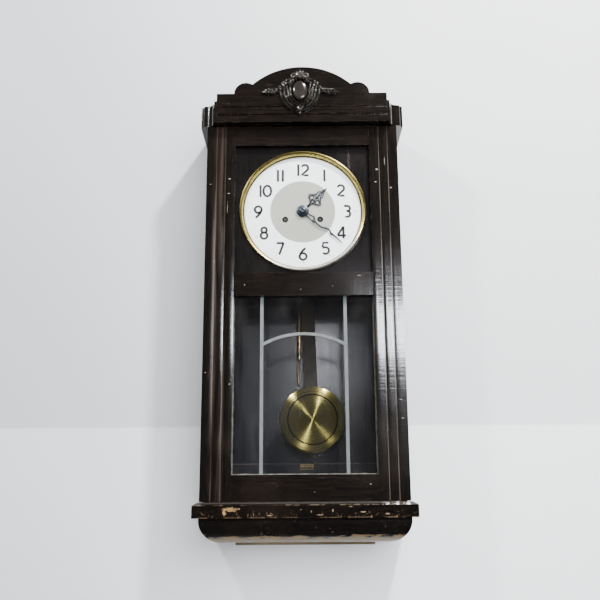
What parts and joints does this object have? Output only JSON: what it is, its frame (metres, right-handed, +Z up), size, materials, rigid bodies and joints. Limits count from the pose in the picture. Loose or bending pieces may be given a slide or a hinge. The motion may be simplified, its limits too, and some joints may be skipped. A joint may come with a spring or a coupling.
{
  "type": "pendulum wall clock",
  "caption": "Wall clock in a tall glazed wooden case with an arched crest, round brass-bezelled dial, leaded glass door, swinging pendulum and striking movement.",
  "frame": {"origin": "centre of the hanging keyhole in the back board, on the plane of the wall", "axes": "+Z up the case, +Y out of the back into the wall, +X to the viewer's right"},
  "size_m": [0.335, 0.149, 0.7626],
  "materials": {
    "wood_case": "semi-gloss ebonised hardwood, worn at the edges",
    "wood_back": "satin dark-stained back board",
    "wood_base": "ebonised with raw wood showing on the lower edge",
    "ornament": "carved and ebonised, glossy on its high points",
    "wood_rod": "brown varnished pendulum rod",
    "steel": "bright drawn steel",
    "blued_steel": "blue-grey hardened steel",
    "iron": "japanned cast iron",
    "brass_plate": "drawn brass, lacquered",
    "brass_bezel": "spun brass, dulled",
    "brass_bob": "radially spun brass",
    "gong_metal": "copper-coloured gong rod",
    "dial_paint": "silvered white chapter ring with a light grey centre",
    "dial_glass": "clear domed glass",
    "pane_glass": "clear sheet glass, lightly dusty",
    "lead": "dull grey lead came"
  },
  "bodies": {
    "case": {"case_back": "wood_back", "case_sides": "wood_case", "hood_mouldings": "wood_case", "hood_top_board": "wood_case", "crest_board": "wood_case", "crest_ornament": "ornament", "base_ledge": "wood_case", "base_cove": "wood_base", "base_under_board": "wood_base", "hanger_plate": "steel", "label_plate": "brass_plate", "case_hinges": "brass_plate", "catch_clip": "brass_plate", "case_screws": "steel", "movement_brackets": "steel", "front_plate": "brass_plate", "back_plate": "brass_plate", "plate_pillars": "brass_plate", "suspension_cock": "brass_plate", "dial_plate": "dial_paint", "dial_fittings": "brass_plate", "gong_block": "iron", "gong_rods": "gong_metal"},
    "door": {"door_stiles": "wood_case", "door_rails": "wood_case", "dial_surround": "wood_case", "bezel": "brass_bezel", "bezel_glass": "dial_glass", "glass_panes": "pane_glass", "lead_cames": "lead", "glass_beads": "wood_case", "door_fittings": "brass_plate"},
    "going_barrel": {"going_barrel": "brass_plate", "going_mainspring": "blued_steel"},
    "going_winding": {"going_winding_arbor": "steel"},
    "going_click": {"going_click": "steel"},
    "strike_barrel": {"strike_barrel": "brass_plate", "strike_mainspring": "blued_steel"},
    "strike_winding": {"strike_winding_arbor": "steel"},
    "strike_click": {"strike_click": "steel"},
    "intermediate": {"intermediate_arbor": "brass_plate"},
    "centre": {"centre_arbor": "brass_plate", "minute_hand": "blued_steel"},
    "hour": {"hour_wheel": "brass_plate", "hour_hand": "blued_steel"},
    "minute_wheel": {"minute_wheel": "brass_plate"},
    "third": {"third_arbor": "brass_plate"},
    "escape": {"escape_arbor": "brass_plate"},
    "anchor": {"anchor": "steel"},
    "pendulum": {"pendulum_rod": "wood_rod", "pendulum_suspension": "steel", "pendulum_bob": "brass_bob"},
    "rating_nut": {"rating_nut": "brass_plate"},
    "star": {"star_arbor": "brass_plate"},
    "gathering": {"gathering_arbor": "brass_plate"},
    "warning": {"warning_arbor": "brass_plate"},
    "fly": {"fly": "brass_plate"},
    "hammer_front": {"hammer_front": "steel"},
    "hammer_rear": {"hammer_rear": "steel"},
    "rack": {"strike_rack": "steel"}
  },
  "joints": [
    {"name": "door_hinge", "type": "hinge", "parent": "case", "child": "door", "pos_m": [0.1546, -0.10475, -0.2775], "axis": [0, 0, 1], "range_deg": [0, 105]},
    {"name": "minute_hand_spin", "type": "hinge", "parent": "case", "child": "centre", "pos_m": [0, -0.085, -0.122], "axis": [0, 1, 0], "continuous": true},
    {"name": "hour_hand_spin", "type": "hinge", "parent": "case", "child": "hour", "pos_m": [0, -0.085, -0.122], "axis": [0, 1, 0], "continuous": true},
    {"name": "minute_wheel_spin", "type": "hinge", "parent": "case", "child": "minute_wheel", "pos_m": [0, -0.085, -0.137], "axis": [0, 1, 0], "continuous": true},
    {"name": "intermediate_spin", "type": "hinge", "parent": "case", "child": "intermediate", "pos_m": [0.016, -0.085, -0.1084], "axis": [0, 1, 0], "continuous": true},
    {"name": "going_barrel_spin", "type": "hinge", "parent": "case", "child": "going_barrel", "pos_m": [0.0283, -0.085, -0.1355], "axis": [0, 1, 0], "continuous": true},
    {"name": "third_spin", "type": "hinge", "parent": "case", "child": "third", "pos_m": [-0.00276, -0.085, -0.10239], "axis": [0, 1, 0], "continuous": true},
    {"name": "escape_spin", "type": "hinge", "parent": "case", "child": "escape", "pos_m": [0, -0.085, -0.08454], "axis": [0, 1, 0], "continuous": true},
    {"name": "going_winding_spin", "type": "hinge", "parent": "case", "child": "going_winding", "pos_m": [0.0283, -0.085, -0.1355], "axis": [0, 1, 0], "continuous": true},
    {"name": "going_click_swing", "type": "hinge", "parent": "case", "child": "going_click", "pos_m": [0.04212, -0.1025, -0.13776], "axis": [0, 1, 0], "range_deg": [-12, 0]},
    {"name": "gathering_spin", "type": "hinge", "parent": "case", "child": "gathering", "pos_m": [-0.0184, -0.085, -0.08859], "axis": [0, 1, 0], "continuous": true},
    {"name": "strike_barrel_spin", "type": "hinge", "parent": "case", "child": "strike_barrel", "pos_m": [-0.0283, -0.085, -0.1355], "axis": [0, 1, 0], "continuous": true},
    {"name": "star_spin", "type": "hinge", "parent": "case", "child": "star", "pos_m": [-0.0283, -0.085, -0.10574], "axis": [0, 1, 0], "continuous": true},
    {"name": "warning_spin", "type": "hinge", "parent": "case", "child": "warning", "pos_m": [-0.03149, -0.085, -0.08103], "axis": [0, 1, 0], "continuous": true},
    {"name": "fly_spin", "type": "hinge", "parent": "case", "child": "fly", "pos_m": [-0.02469, -0.085, -0.06925], "axis": [0, 1, 0], "continuous": true},
    {"name": "strike_winding_spin", "type": "hinge", "parent": "case", "child": "strike_winding", "pos_m": [-0.0283, -0.085, -0.1355], "axis": [0, 1, 0], "continuous": true},
    {"name": "strike_click_swing", "type": "hinge", "parent": "case", "child": "strike_click", "pos_m": [-0.03406, -0.1025, -0.14826], "axis": [0, 1, 0], "range_deg": [-12, 0]},
    {"name": "pendulum_swing", "type": "hinge", "parent": "case", "child": "pendulum", "pos_m": [0, -0.0455, -0.0695], "axis": [0, 1, 0], "range_deg": [-1.5, 5.5]},
    {"name": "anchor_swing", "type": "hinge", "parent": "case", "child": "anchor", "pos_m": [0, -0.075, -0.0695], "axis": [0, 1, 0], "range_deg": [-1.5, 5.5]},
    {"name": "rating_nut_turn", "type": "hinge", "parent": "pendulum", "child": "rating_nut", "pos_m": [0.01529, -0.0455, -0.50963], "axis": [-0.0347, 0, 0.9994], "continuous": true},
    {"name": "hammer_front_lift", "type": "hinge", "parent": "case", "child": "hammer_front", "pos_m": [-0.044, -0.065, -0.092], "axis": [0, 1, 0], "range_deg": [-14, 0]},
    {"name": "hammer_rear_lift", "type": "hinge", "parent": "case", "child": "hammer_rear", "pos_m": [-0.044, -0.022, -0.092], "axis": [0, 1, 0], "range_deg": [-14, 0]},
    {"name": "rack_fall", "type": "hinge", "parent": "case", "child": "rack", "pos_m": [-0.046, -0.105, -0.122], "axis": [0, 1, 0], "range_deg": [0, 14]}
  ],
  "couplings": [
    {"joint": "hour_hand_spin", "follows": "minute_hand_spin", "ratio": 0.083333},
    {"joint": "minute_wheel_spin", "follows": "minute_hand_spin", "ratio": -0.33333},
    {"joint": "intermediate_spin", "follows": "minute_hand_spin", "ratio": -0.16667},
    {"joint": "going_barrel_spin", "follows": "minute_hand_spin", "ratio": 0.02381},
    {"joint": "third_spin", "follows": "minute_hand_spin", "ratio": -10},
    {"joint": "escape_spin", "follows": "minute_hand_spin", "ratio": 97.5},
    {"joint": "star_spin", "follows": "gathering_spin", "ratio": -0.1},
    {"joint": "strike_barrel_spin", "follows": "gathering_spin", "ratio": 0.014286},
    {"joint": "warning_spin", "follows": "gathering_spin", "ratio": -8},
    {"joint": "fly_spin", "follows": "gathering_spin", "ratio": 60},
    {"joint": "anchor_swing", "follows": "pendulum_swing", "ratio": 1}
  ]
}
